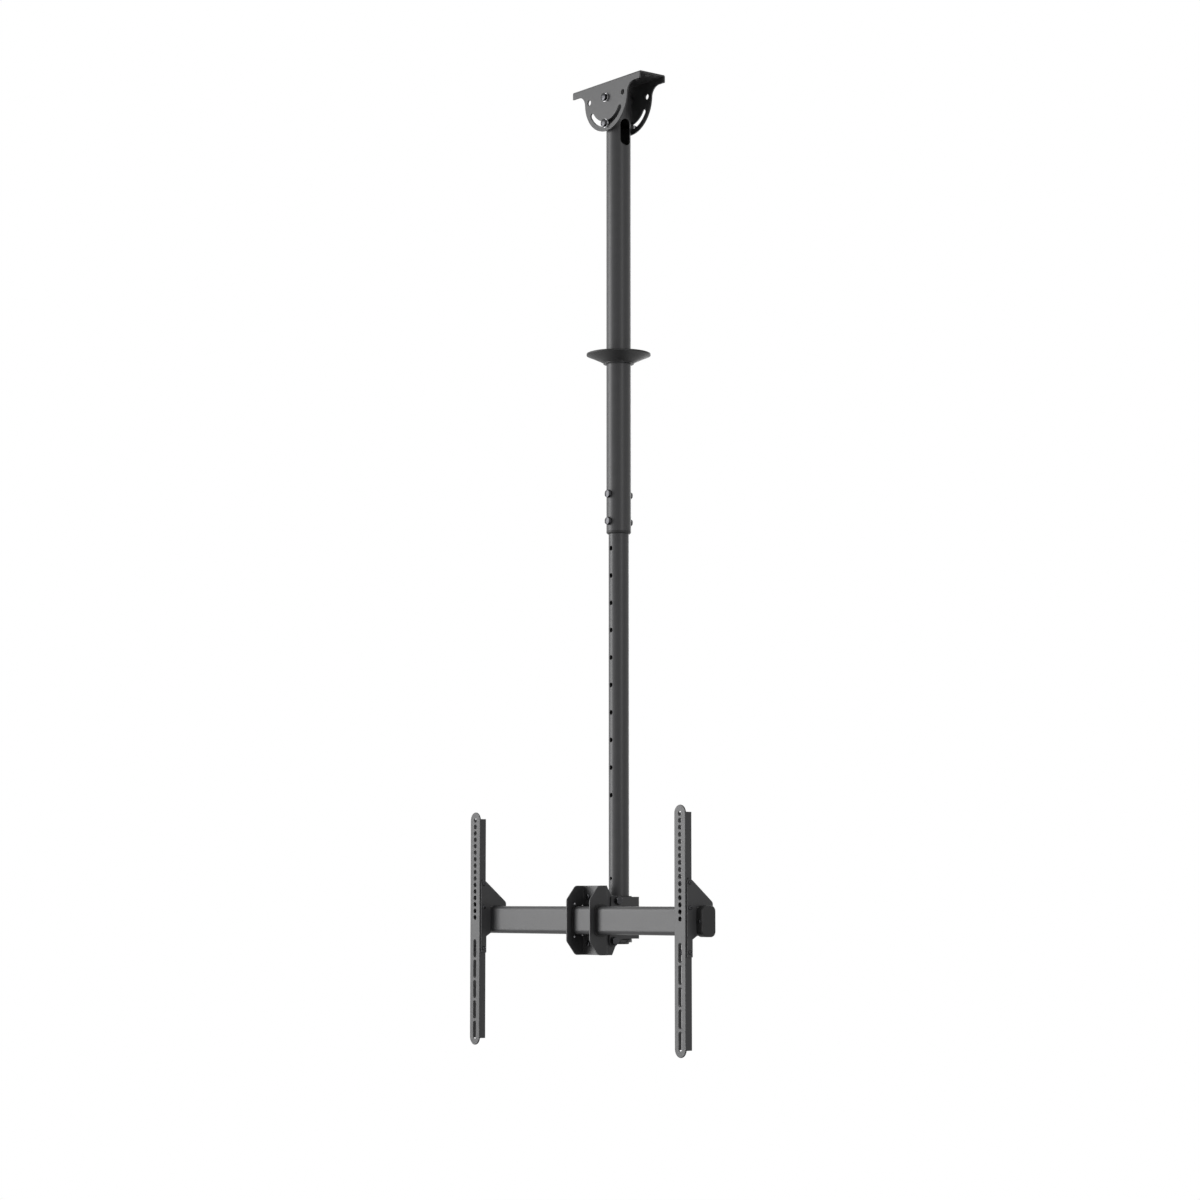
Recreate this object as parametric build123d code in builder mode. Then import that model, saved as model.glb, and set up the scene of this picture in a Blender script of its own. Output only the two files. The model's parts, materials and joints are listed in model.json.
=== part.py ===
from build123d import *

import os
from math import atan2, cos, degrees, hypot, radians, sin

# TV ceiling mount: a telescopic pole hangs from a pitching ceiling bracket and carries a
# swivelling, tilting head with a cross beam and two hook-on rails for the screen.
# Millimetres, Z up. The origin is the middle of the face that meets the ceiling.
# X runs along the beam, and the screen side is -Y.

os.makedirs("parts", exist_ok=True)

# Clearances
running_fit = 0.1          # radial gap of a pin, bush or slide that moves
seat_fit = 0.05            # radial gap of a curved seat that stays still
face_gap = 0.2             # gap between flat faces that slide past each other
body_gap = 0.3             # gap between moving bodies that rest on each other

# Fasteners
m8_shank = 8
m8_flats = 13
m8_head = 5.3
m8_nut = 6.5
m8_thin_nut = 5
m8_washer_diameter = 16
m8_washer_thickness = 1.6
m6_shank = 6
m6_flats = 10
m6_head = 4
m6_nut = 5
m6_button_diameter = 10.5
m6_button_head = 3.3
thread_end = 3             # thread left showing past a nut
short_thread_end = 1

# Ceiling bracket, one folded sheet
plate_length = 200
bracket_sheet = 3
ear_gap = 54
wing_drop = 14
wing_curve = 20
lobe_radius = 63
pivot_drop = 30
ear_hole_diameter = 10
ear_hole_spacing = 100
ear_slot_radius = 49
ear_slot_width = 9.5
ear_slot_half_angle = 57
ceiling_hole_diameter = 10
ceiling_hole_spacing = 174
inner_hole_spacing = 110

# Outer tube
outer_diameter = 45
outer_wall = 2
tube_above_pivot = 13
outer_length = 820
cable_slot_width = 22
cable_slot_height = 50
cable_slot_below_pivot = 65
spacer_diameter = 18

# Inner tube and its guides
inner_diameter = 37
inner_wall = 2
height_hole_diameter = 8.6
height_hole_pitch = 50
height_hole_count = 12
lowest_lock_above_mouth = 18
tube_above_top_hole = 40
liner_lip = 4.6
liner_stop_gap = 3.5
glide_height = 20
lock_tip_gap = 0.4

# Ceiling cover
cover_diameter = 118
cover_rim = 2.8
cover_height = 19
cover_wall = 2.2
cover_neck_diameter = 56
cover_rim_inset = 8.3
cover_step_drop = 6.2
cover_neck_flare = 6.2
cover_flare_height = 5.3
cover_neck_height = 1.9
cover_drop = 508
grip_height = 8

# Head: drop of the beam's axis below the ceiling, and the yoke round the pole
beam_drop = 1544
yoke_sheet = 2.5
yoke_half_width = 31.5
yoke_above_beam = 42
yoke_below_beam = 33
yoke_rear = 22.5
yoke_front = 42
yoke_lobe_radius = 10
tab_end_radius = 25.5
bush_wall = 1.2
bush_flange_diameter = 46
bush_flange = 1.5
collar_diameter = 47
collar_height = 5
collar_screw_diameter = 4
tube_below_collar = 1.8
end_bush_flange_diameter = 32
end_bush_flange = 1.5
end_bush_bore = 26
lone_hole_above_beam = 75
lone_hole_diameter = 6
swivel_screw_spacing = 30

# Tilt joint: the pivot bolt below the beam and the lock bolts above it
tilt_pivot_forward = 37
tilt_pivot_below = 37
tilt_lock_forward = 28
tilt_lock_above = 35
tilt_down = 15
tilt_up = 5
ear_margin = 4.5
tilt_slot_width = 9
tilt_spacer_diameter = 13

# Beam bracket and the tilt bracket behind it
bracket_half_width = 35
bracket_height = 124
bracket_front = 93.5
chamfer_depth = 20
chamfer_height = 25
bracket_corner = 9
head_sheet = 2.5
liner_wall = 1.8
web_bolt_diameter = 6
web_bolt_spacing_x = 36
web_bolt_spacing_z = 84

# Beam and end caps
beam_half_length = 335
beam_height = 50
beam_depth = 25
beam_wall = 2
beam_corner = 8
beam_forward = 81          # front face of the beam
cap_skirt = 13.8
cap_wall = 1.6
cap_end = 2.5
cap_gap = 0.2
cap_screw_diameter = 3.5
cap_screw_head = 6.5

# Rails
rail_spacing = 600
rail_width = 30
rail_length = 430
rail_depth = 14
rail_sheet = 2.3
rail_forward = 105         # front face of the rail
rail_flange_inset = 12.5
rail_below_beam = 16
rail_hole_diameter = 8.5
rail_hole_count = 16
rail_hole_pitch = 12
rail_top_hole = 200
rail_slot_width = 8.5
rail_slot_length = 33.5
rail_slot_count = 5
rail_slot_pitch = 37.5
rail_last_slot_end = 200

# Hook brackets
hook_sheet = 2.5
hook_bolt_heights = (66, 23, -53)
hook_bolt_inset = 6
hook_bolt_margin = 8
hook_over_beam = 7
hook_back = 10
hook_drop = 20
hook_front_gap = 2.5
hook_below_beam = 6


def hex_bolt(shank, flats, head, length):
    """Hex bolt standing on Z: the underside of its head is at the origin and it points down."""
    with BuildPart() as bolt:
        with BuildSketch():
            RegularPolygon(flats / 2, 6, major_radius=False)
        extrude(amount=head)
        chamfer(bolt.faces().sort_by(Axis.Z)[-1].edges(), head / 8)
        with BuildSketch():
            Circle(shank / 2)
        extrude(amount=-length)
    return bolt.part


def hex_nut(bore, flats, height):
    """Hex nut standing on the XY plane."""
    with BuildPart() as nut:
        with BuildSketch():
            RegularPolygon(flats / 2, 6, major_radius=False)
            Circle(bore / 2 + seat_fit, mode=Mode.SUBTRACT)
        extrude(amount=height)
    return nut.part


def ring(outer_radius, inner_radius, height):
    """Plain ring standing on the XY plane."""
    with BuildPart() as body:
        with BuildSketch():
            Circle(outer_radius)
            Circle(inner_radius, mode=Mode.SUBTRACT)
        extrude(amount=height)
    return body.part


def facing(x, y, z, direction):
    """Plane at a point whose normal is the given direction."""
    return Plane((x, y, z), z_dir=direction)


to_front = (0, -1, 0)
to_back = (0, 1, 0)
to_right = (1, 0, 0)
to_left = (-1, 0, 0)
outer_radius = outer_diameter / 2
inner_radius = inner_diameter / 2
m8_hole = m8_shank / 2 + running_fit

# Ceiling bracket: a U of sheet, its ears cut to a wing and a round lobe about the pivot
bracket_width = ear_gap + 2 * bracket_sheet
ear_face = bracket_width / 2
lobe_bottom = pivot_drop + lobe_radius
with BuildPart() as ceiling_bracket:
    with BuildSketch(Plane.YZ) as section:
        with Locations((0, -lobe_bottom / 2)):
            Rectangle(bracket_width, lobe_bottom)
        fillet(section.vertices().group_by(Axis.Y)[-1], bracket_sheet)
        with Locations((0, -bracket_sheet - lobe_bottom / 2)):
            Rectangle(ear_gap, lobe_bottom, mode=Mode.SUBTRACT)
    extrude(amount=plate_length / 2, both=True)
    with BuildSketch(Plane.XZ) as outline:
        with Locations((0, -pivot_drop)):
            Circle(lobe_radius)
        with Locations((0, -wing_drop / 2)):
            Rectangle(plate_length, wing_drop)
        wing_ends = outline.vertices().filter_by_position(Axis.Y, -wing_drop, -wing_drop)
        fillet(wing_ends.sort_by(Axis.X)[1:-1], wing_curve)
    extrude(amount=bracket_width, both=True, mode=Mode.INTERSECT)
    with BuildSketch(Plane.XZ):
        with Locations((0, -pivot_drop)):
            Circle(m8_hole)
            with GridLocations(ear_hole_spacing, 0, 2, 1):
                Circle(ear_hole_diameter / 2)
        with BuildLine() as slot_line:
            CenterArc((0, -pivot_drop), ear_slot_radius, -90 - ear_slot_half_angle, 2 * ear_slot_half_angle)
        SlotArc(slot_line.edge(), ear_slot_width)
    extrude(amount=bracket_width, both=True, mode=Mode.SUBTRACT)
    with BuildSketch(Plane.XY):
        with GridLocations(ceiling_hole_spacing, 0, 2, 1):
            Circle(ceiling_hole_diameter / 2)
        with GridLocations(inner_hole_spacing, 0, 2, 1):
            Circle(ceiling_hole_diameter / 2)
    extrude(amount=-bracket_sheet, mode=Mode.SUBTRACT)
ceiling_bracket.part.label = "ceiling_bracket"
export_step(ceiling_bracket.part, "parts/ceiling_bracket.step")

# Pivot bolt: fast in the bracket, with a washer under its head and its nut
washer = ring(m8_washer_diameter / 2, m8_shank / 2 + seat_fit, m8_washer_thickness)
pivot_nut_face = ear_face + m8_washer_thickness
pivot_bolt_length = 2 * pivot_nut_face + m8_nut + thread_end
with BuildPart() as pivot_bolt:
    with Locations(facing(0, -pivot_nut_face, -pivot_drop, to_front)):
        add(hex_bolt(m8_shank, m8_flats, m8_head, pivot_bolt_length))
pivot_bolt.part.label = "pivot_bolt"
export_step(pivot_bolt.part, "parts/pivot_bolt.step")

with BuildPart() as pivot_nut:
    with Locations(facing(0, pivot_nut_face, -pivot_drop, to_back)):
        add(hex_nut(m8_shank, m8_flats, m8_nut))
pivot_nut.part.label = "pivot_nut"
export_step(pivot_nut.part, "parts/pivot_nut.step")

with BuildPart() as pivot_washers:
    with Locations(facing(0, -ear_face, -pivot_drop, to_front), facing(0, ear_face, -pivot_drop, to_back)):
        add(washer)
pivot_washers.part.label = "pivot_washers"
export_step(pivot_washers.part, "parts/pivot_washers.step")

# Lock bolt: rides with the pole along the arc slots, so its washers clear the ears
lock_drop = pivot_drop + ear_slot_radius
lock_washer_face = ear_face + face_gap
lock_nut_face = lock_washer_face + m8_washer_thickness
lock_bolt_length = 2 * lock_nut_face + m8_nut + thread_end
with BuildPart() as lock_bolt:
    with Locations(facing(0, -lock_nut_face, -lock_drop, to_front)):
        add(hex_bolt(m8_shank, m8_flats, m8_head, lock_bolt_length))
lock_bolt.part.label = "lock_bolt"
export_step(lock_bolt.part, "parts/lock_bolt.step")

with BuildPart() as lock_nut:
    with Locations(facing(0, lock_nut_face, -lock_drop, to_back)):
        add(hex_nut(m8_shank, m8_flats, m8_nut))
lock_nut.part.label = "lock_nut"
export_step(lock_nut.part, "parts/lock_nut.step")

with BuildPart() as lock_washers:
    with Locations(
        facing(0, -lock_washer_face, -lock_drop, to_front), facing(0, lock_washer_face, -lock_drop, to_back)
    ):
        add(washer)
lock_washers.part.label = "lock_washers"
export_step(lock_washers.part, "parts/lock_washers.step")

# Four saddle spacers between the pole and the ears, hollowed to the pole's round side
spacer_end = ear_gap / 2 - face_gap
with BuildPart() as ear_spacers:
    for height in (-pivot_drop, -lock_drop):
        with BuildSketch(Plane.XZ.offset(-spacer_end)):
            with Locations((0, height)):
                Circle(spacer_diameter / 2)
                Circle(m8_hole, mode=Mode.SUBTRACT)
        extrude(amount=2 * spacer_end)
    with BuildSketch(Plane.XY.offset(-lobe_bottom)):
        Circle(outer_radius + seat_fit)
    extrude(amount=lobe_bottom, mode=Mode.SUBTRACT)
ear_spacers.part.label = "ear_spacers"
export_step(ear_spacers.part, "parts/ear_spacers.step")

# Outer tube
tube_top = -pivot_drop + tube_above_pivot
mouth = tube_top - outer_length
outer_bore = outer_radius - outer_wall
lower_lock = mouth + lowest_lock_above_mouth
upper_lock = lower_lock + height_hole_pitch
lock_heights = (upper_lock, lower_lock)
cable_slot_middle = -pivot_drop - cable_slot_below_pivot
with BuildPart() as outer_tube:
    with BuildSketch(Plane.XY.offset(mouth)):
        Circle(outer_radius)
        Circle(outer_bore, mode=Mode.SUBTRACT)
    extrude(amount=outer_length)
    with BuildSketch(Plane.YZ):
        with Locations((0, cable_slot_middle)):
            SlotOverall(cable_slot_height, cable_slot_width, rotation=90)
    extrude(amount=outer_diameter, mode=Mode.SUBTRACT)
    with BuildSketch(Plane.XZ):
        with Locations((0, -pivot_drop), (0, -lock_drop)):
            Circle(m8_hole)
        with Locations((0, upper_lock), (0, lower_lock)):
            Circle(m8_shank / 2 + seat_fit)
    extrude(amount=outer_diameter, both=True, mode=Mode.SUBTRACT)
outer_tube.part.label = "outer_tube"
export_step(outer_tube.part, "parts/outer_tube.step")

# Moulded liner in the tube's mouth, with holes for the lock screws
liner_bore = inner_radius + running_fit
liner_radius = outer_bore - seat_fit
inner_top_hole = upper_lock
inner_top = inner_top_hole + tube_above_top_hole
liner_top = inner_top - glide_height - liner_stop_gap
with BuildPart() as tube_liner:
    with BuildSketch(Plane.XY.offset(mouth)):
        Circle(liner_radius)
        Circle(liner_bore, mode=Mode.SUBTRACT)
    extrude(amount=liner_top - mouth)
    with BuildSketch(Plane.XY.offset(mouth - liner_lip)):
        Circle(outer_radius)
        Circle(liner_bore, mode=Mode.SUBTRACT)
    extrude(amount=liner_lip)
    chamfer(tube_liner.edges().group_by(Axis.Z)[0].sort_by(SortBy.LENGTH)[-1], outer_wall)
    with BuildSketch(Plane.XZ):
        with Locations((0, upper_lock), (0, lower_lock)):
            Circle(m8_shank / 2 + seat_fit)
    extrude(amount=outer_diameter, both=True, mode=Mode.SUBTRACT)
tube_liner.part.label = "tube_liner"
export_step(tube_liner.part, "parts/tube_liner.step")

# Lock screws, backed out until their tips just clear the inner tube
lock_screw_length = outer_radius - inner_radius - lock_tip_gap
lock_screw = hex_bolt(m8_shank, m8_flats, m8_head, lock_screw_length)
with BuildPart() as lock_screws_front:
    with Locations(*[facing(0, -outer_radius, height, to_front) for height in lock_heights]):
        add(lock_screw)
lock_screws_front.part.label = "lock_screws_front"
export_step(lock_screws_front.part, "parts/lock_screws_front.step")

with BuildPart() as lock_screws_rear:
    with Locations(*[facing(0, outer_radius, height, to_back) for height in lock_heights]):
        add(lock_screw)
lock_screws_rear.part.label = "lock_screws_rear"
export_step(lock_screws_rear.part, "parts/lock_screws_rear.step")

# Ceiling cover: a stepped plastic shell, wide rim up, that slides on the outer tube
cover_bore = outer_radius + running_fit
cover_rim_radius = cover_diameter / 2
cover_neck_radius = cover_neck_diameter / 2
cover_step_radius = cover_rim_radius - cover_rim_inset
cover_flare_radius = cover_neck_radius + cover_neck_flare
grip_radius = cover_neck_radius - cover_wall
cover_bottom = -cover_drop - cover_height
with BuildPart() as ceiling_cover:
    with BuildSketch(Plane.XZ):
        with BuildLine():
            Polyline(
                (cover_rim_radius, -cover_drop),
                (cover_rim_radius, -cover_drop - cover_rim),
                (cover_step_radius, -cover_drop - cover_step_drop),
                (cover_flare_radius, cover_bottom + cover_flare_height),
                (cover_neck_radius, cover_bottom + cover_neck_height),
                (cover_neck_radius, cover_bottom),
                (cover_bore + body_gap, cover_bottom),
                (cover_bore + body_gap, cover_bottom + cover_wall),
                (grip_radius, cover_bottom + cover_wall),
                (grip_radius, cover_bottom + cover_neck_height + cover_wall),
                (cover_flare_radius - cover_wall, cover_bottom + cover_flare_height + cover_wall),
                (cover_step_radius - cover_wall, -cover_drop - cover_step_drop + cover_wall),
                (cover_rim_radius - cover_wall, -cover_drop - cover_rim + cover_wall),
                (cover_rim_radius - cover_wall, -cover_drop),
                close=True,
            )
        make_face()
    revolve(axis=Axis.Z)
ceiling_cover.part.label = "ceiling_cover"
export_step(ceiling_cover.part, "parts/ceiling_cover.step")

with BuildPart() as cover_grip:
    with BuildSketch(Plane.XY.offset(cover_bottom + cover_wall)):
        Circle(grip_radius - seat_fit)
        Circle(cover_bore, mode=Mode.SUBTRACT)
    extrude(amount=grip_height)
cover_grip.part.label = "cover_grip"
export_step(cover_grip.part, "parts/cover_grip.step")

# Inner tube, drawn fully extended: lock holes front and rear, and its lower end below the head
bush_bore = inner_radius + running_fit
beam_height_z = -beam_drop
yoke_top = beam_height_z + yoke_above_beam
yoke_bottom = beam_height_z - yoke_below_beam
collar_top = yoke_bottom - bush_flange - face_gap
collar_bottom = collar_top - collar_height
inner_bottom = collar_bottom - tube_below_collar
tube_bore = inner_radius - inner_wall
collar_middle = (collar_top + collar_bottom) / 2
with BuildPart() as inner_tube:
    with BuildSketch(Plane.XY.offset(inner_bottom)):
        Circle(inner_radius)
        Circle(tube_bore, mode=Mode.SUBTRACT)
    extrude(amount=inner_top - inner_bottom)
    with BuildSketch(Plane.XZ):
        for count in range(height_hole_count):
            with Locations((0, inner_top_hole - count * height_hole_pitch)):
                Circle(height_hole_diameter / 2)
        with Locations((0, beam_height_z + lone_hole_above_beam)):
            Circle(lone_hole_diameter / 2)
    extrude(amount=inner_diameter, both=True, mode=Mode.SUBTRACT)
    with BuildSketch(Plane.YZ):
        with Locations((0, collar_middle)):
            Circle(collar_screw_diameter / 2 + seat_fit)
    extrude(amount=inner_diameter, both=True, mode=Mode.SUBTRACT)
inner_tube.part.label = "inner_tube"
export_step(inner_tube.part, "parts/inner_tube.step")

with BuildPart() as glide_ring:
    with BuildSketch(Plane.XY.offset(inner_top - glide_height)):
        Circle(outer_bore - running_fit)
        Circle(inner_radius + seat_fit, mode=Mode.SUBTRACT)
    extrude(amount=glide_height)
    chamfer(glide_ring.edges().group_by(Axis.Z)[-1].sort_by(SortBy.LENGTH)[-1], inner_wall / 2)
glide_ring.part.label = "glide_ring"
export_step(glide_ring.part, "parts/glide_ring.step")

# Collar on the tube's lower end, which carries the head, with two set screws
with BuildPart() as stop_collar:
    with BuildSketch(Plane.XY.offset(collar_bottom)):
        Circle(collar_diameter / 2)
        Circle(inner_radius + seat_fit, mode=Mode.SUBTRACT)
    extrude(amount=collar_height)
    with BuildSketch(Plane.YZ):
        with Locations((0, collar_middle)):
            Circle(collar_screw_diameter / 2 + seat_fit)
    extrude(amount=collar_diameter, both=True, mode=Mode.SUBTRACT)
stop_collar.part.label = "stop_collar"
export_step(stop_collar.part, "parts/stop_collar.step")

collar_screw_length = collar_diameter / 2 - tube_bore
with BuildPart() as collar_screws:
    for direction in (to_right, to_left):
        with BuildSketch(facing(direction[0] * tube_bore, 0, collar_middle, direction)):
            Circle(collar_screw_diameter / 2)
        extrude(amount=collar_screw_length)
        with BuildSketch(facing(direction[0] * collar_diameter / 2, 0, collar_middle, direction)):
            RegularPolygon(collar_screw_diameter / 4, 6, major_radius=False)
        extrude(amount=-collar_screw_diameter / 2, mode=Mode.SUBTRACT)
collar_screws.part.label = "collar_screws"
export_step(collar_screws.part, "parts/collar_screws.step")

# Open plastic bush that guards cables at the tube's lower end
with BuildPart() as end_bush:
    with BuildSketch(Plane.XY.offset(inner_bottom - end_bush_flange)):
        Circle(end_bush_flange_diameter / 2 + inner_wall)
        Circle(end_bush_bore / 2, mode=Mode.SUBTRACT)
    extrude(amount=end_bush_flange)
    with BuildSketch(Plane.XY.offset(inner_bottom)):
        Circle(tube_bore - seat_fit)
        Circle(end_bush_bore / 2, mode=Mode.SUBTRACT)
    extrude(amount=tube_below_collar)
    chamfer(end_bush.edges().group_by(Axis.Z)[0].sort_by(SortBy.LENGTH)[-1], end_bush_flange / 2)
end_bush.part.label = "end_bush"
export_step(end_bush.part, "parts/end_bush.step")

# Pole yoke: one folded blank, a rear web with two cheeks and two tabs that hold the bushes
bush_radius = bush_bore + bush_wall
cheek_inside = yoke_half_width - yoke_sheet
pivot_y = -tilt_pivot_forward
pivot_z = beam_height_z - tilt_pivot_below
lock_y = -tilt_lock_forward
lock_z = beam_height_z + tilt_lock_above
lobe_low = pivot_z - yoke_lobe_radius
lobe_front = pivot_y - yoke_lobe_radius
with BuildPart() as pole_yoke:
    with BuildSketch(Plane.YZ) as cheek:
        with BuildLine():
            Polyline(
                (-yoke_front, yoke_top),
                (yoke_rear, yoke_top),
                (yoke_rear, yoke_bottom),
                (pivot_y + 2 * yoke_lobe_radius, yoke_bottom),
                (pivot_y, lobe_low),
                (lobe_front, pivot_z),
                close=True,
            )
        make_face()
        with Locations((pivot_y, pivot_z)):
            Circle(yoke_lobe_radius)
    extrude(amount=yoke_half_width, both=True)
    with BuildSketch(Plane.XY.offset(lobe_low)):
        with Locations((0, yoke_rear - yoke_sheet - yoke_half_width * 2)):
            Rectangle(2 * cheek_inside, 4 * yoke_half_width)
    extrude(amount=yoke_top - lobe_low, mode=Mode.SUBTRACT)
    fillet(pole_yoke.edges().filter_by(Axis.Z).group_by(Axis.Y)[-1], yoke_sheet)
    for tab_height in (yoke_bottom, yoke_top - yoke_sheet):
        with BuildSketch(Plane.XY.offset(tab_height)):
            Circle(tab_end_radius)
            with Locations((0, (yoke_rear - yoke_sheet / 2) / 2)):
                Rectangle(2 * tab_end_radius, yoke_rear - yoke_sheet / 2)
            with Locations((0, yoke_rear + tab_end_radius)):
                Rectangle(2 * tab_end_radius, 2 * tab_end_radius, mode=Mode.SUBTRACT)
            Circle(bush_radius + seat_fit, mode=Mode.SUBTRACT)
        extrude(amount=yoke_sheet)
    with BuildSketch(Plane.YZ):
        with Locations((pivot_y, pivot_z), (lock_y, lock_z)):
            Circle(m8_shank / 2 + seat_fit)
    extrude(amount=yoke_half_width, both=True, mode=Mode.SUBTRACT)
    with BuildSketch(Plane.XZ.offset(-yoke_rear)):
        with Locations((0, beam_height_z)):
            with GridLocations(0, swivel_screw_spacing, 1, 2):
                Circle(m8_shank / 2 + seat_fit)
    extrude(amount=yoke_sheet, mode=Mode.SUBTRACT)
pole_yoke.part.label = "pole_yoke"
export_step(pole_yoke.part, "parts/pole_yoke.step")

with BuildPart() as upper_bush:
    with BuildSketch(Plane.XY.offset(yoke_top - yoke_sheet)):
        Circle(bush_radius)
        Circle(bush_bore, mode=Mode.SUBTRACT)
    extrude(amount=yoke_sheet)
    with BuildSketch(Plane.XY.offset(yoke_top)):
        Circle(bush_flange_diameter / 2)
        Circle(bush_bore, mode=Mode.SUBTRACT)
    extrude(amount=bush_flange)
upper_bush.part.label = "upper_bush"
export_step(upper_bush.part, "parts/upper_bush.step")

with BuildPart() as lower_bush:
    with BuildSketch(Plane.XY.offset(yoke_bottom)):
        Circle(bush_radius)
        Circle(bush_bore, mode=Mode.SUBTRACT)
    extrude(amount=yoke_sheet)
    with BuildSketch(Plane.XY.offset(yoke_bottom - bush_flange)):
        Circle(bush_flange_diameter / 2)
        Circle(bush_bore, mode=Mode.SUBTRACT)
    extrude(amount=bush_flange)
lower_bush.part.label = "lower_bush"
export_step(lower_bush.part, "parts/lower_bush.step")

# Swivel lock screws through the rear web, backed off until their tips clear the pole
swivel_screw_length = yoke_rear - inner_radius - body_gap
swivel_heights = (beam_height_z + swivel_screw_spacing / 2, beam_height_z - swivel_screw_spacing / 2)
with BuildPart() as swivel_screws:
    with Locations(*[facing(0, yoke_rear, height, to_back) for height in swivel_heights]):
        add(hex_bolt(m8_shank, m8_flats, m8_head, swivel_screw_length))
swivel_screws.part.label = "swivel_screws"
export_step(swivel_screws.part, "parts/swivel_screws.step")

# Tilt bracket: a U open to the rear, its ears inside the yoke's cheeks
beam_back = beam_forward - beam_depth
web_face = -(beam_back - body_gap)
front_web_back = web_face + head_sheet
tilt_web_back = front_web_back + head_sheet
ear_outside = cheek_inside - face_gap
ear_inside = ear_outside - head_sheet
lock_radius = hypot(tilt_pivot_forward - tilt_lock_forward, tilt_pivot_below + tilt_lock_above)
lock_angle = degrees(atan2(tilt_pivot_below + tilt_lock_above, tilt_pivot_forward - tilt_lock_forward))
slot_turn = tilt_down + tilt_up
bracket_low = beam_height_z - bracket_height / 2
bracket_high = beam_height_z + bracket_height / 2
slot_rear_y = pivot_y + lock_radius * cos(radians(lock_angle - tilt_down))
slot_rear_z = pivot_z + lock_radius * sin(radians(lock_angle - tilt_down))
slot_front_y = pivot_y + lock_radius * cos(radians(lock_angle + tilt_up))
slot_front_z = pivot_z + lock_radius * sin(radians(lock_angle + tilt_up))
with BuildPart() as tilt_bracket:
    with BuildSketch(Plane.YZ) as ear:
        with BuildLine():
            Polyline(
                (front_web_back, bracket_low),
                (pivot_y - head_sheet / 2, bracket_low),
                (pivot_y + yoke_lobe_radius, pivot_z - head_sheet),
                (slot_rear_y, slot_rear_z),
                (slot_front_y, slot_front_z),
                (tilt_web_back, bracket_high),
                (front_web_back, bracket_high),
                close=True,
            )
        make_face()
        with BuildLine() as slot_line:
            CenterArc((pivot_y, pivot_z), lock_radius, lock_angle - tilt_down, slot_turn)
        SlotArc(slot_line.edge(), tilt_slot_width + 2 * ear_margin)
    extrude(amount=ear_outside, both=True)
    with BuildSketch(Plane.XY.offset(bracket_low)):
        with Locations((0, tilt_web_back + bracket_height / 2)):
            Rectangle(2 * ear_inside, bracket_height)
    extrude(amount=bracket_height, mode=Mode.SUBTRACT)
    with BuildSketch(Plane.YZ):
        SlotArc(slot_line.edge(), tilt_slot_width)
        with Locations((pivot_y, pivot_z)):
            Circle(m8_hole)
    extrude(amount=ear_outside, both=True, mode=Mode.SUBTRACT)
    with BuildSketch(Plane.XZ.offset(-tilt_web_back)):
        with Locations((0, beam_height_z)):
            with GridLocations(web_bolt_spacing_x, web_bolt_spacing_z, 2, 2):
                Circle(web_bolt_diameter / 2 + seat_fit)
    extrude(amount=head_sheet, mode=Mode.SUBTRACT)
tilt_bracket.part.label = "tilt_bracket"
export_step(tilt_bracket.part, "parts/tilt_bracket.step")

# Beam bracket: a U open to the front, with a window in each flange for the beam and its liner
window_half_height = beam_height / 2 + cap_gap + liner_wall
window_front = -(beam_forward + cap_gap + liner_wall)
window_corner = beam_corner + cap_gap + liner_wall
flange_inside = bracket_half_width - head_sheet
with BuildPart() as beam_bracket:
    with BuildSketch(Plane.YZ) as flange:
        with Locations(((front_web_back - bracket_front) / 2, beam_height_z)):
            Rectangle(bracket_front + front_web_back, bracket_height)
        with Locations((-bracket_front, bracket_high)):
            Polygon((0, 0), (chamfer_depth, 0), (0, -chamfer_height), align=None, mode=Mode.SUBTRACT)
        with Locations((-bracket_front, bracket_low)):
            Polygon((0, 0), (chamfer_depth, 0), (0, chamfer_height), align=None, mode=Mode.SUBTRACT)
        fillet(flange.vertices().group_by(Axis.X)[0], bracket_corner)
        fillet(flange.vertices().group_by(Axis.X)[-2], bracket_corner)
    extrude(amount=bracket_half_width, both=True)
    with BuildSketch(Plane.XY.offset(bracket_low)):
        with Locations((0, web_face - bracket_height / 2)):
            Rectangle(2 * flange_inside, bracket_height)
    extrude(amount=bracket_height, mode=Mode.SUBTRACT)
    fillet(beam_bracket.edges().filter_by(Axis.Z).group_by(Axis.Y)[-1], head_sheet)
    with BuildSketch(Plane.YZ) as window:
        with Locations(((window_front + web_face) / 2, beam_height_z)):
            Rectangle(web_face - window_front, 2 * window_half_height)
        fillet(window.vertices().group_by(Axis.X)[0], window_corner)
    extrude(amount=bracket_half_width, both=True, mode=Mode.SUBTRACT)
    with BuildSketch(Plane.XZ.offset(-front_web_back)):
        with Locations((0, beam_height_z)):
            with GridLocations(web_bolt_spacing_x, web_bolt_spacing_z, 2, 2):
                Circle(web_bolt_diameter / 2 + seat_fit)
    extrude(amount=head_sheet, mode=Mode.SUBTRACT)
beam_bracket.part.label = "beam_bracket"
export_step(beam_bracket.part, "parts/beam_bracket.step")

# Four bolts hold the two brackets back to back, with their heads at the front
web_bolt_length = 2 * head_sheet + m6_nut + short_thread_end
with BuildPart() as web_bolts:
    with BuildSketch(Plane.XZ.offset(-web_face)):
        with Locations((0, beam_height_z)):
            with GridLocations(web_bolt_spacing_x, web_bolt_spacing_z, 2, 2):
                Circle(m6_button_diameter / 2)
    extrude(amount=m6_button_head)
    fillet(web_bolts.edges().group_by(Axis.Y)[0], m6_button_head / 2)
    with BuildSketch(Plane.XZ.offset(-web_face)):
        with Locations((0, beam_height_z)):
            with GridLocations(web_bolt_spacing_x, web_bolt_spacing_z, 2, 2):
                Circle(m6_shank / 2)
    extrude(amount=-web_bolt_length)
web_bolts.part.label = "web_bolts"
export_step(web_bolts.part, "parts/web_bolts.step")

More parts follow.
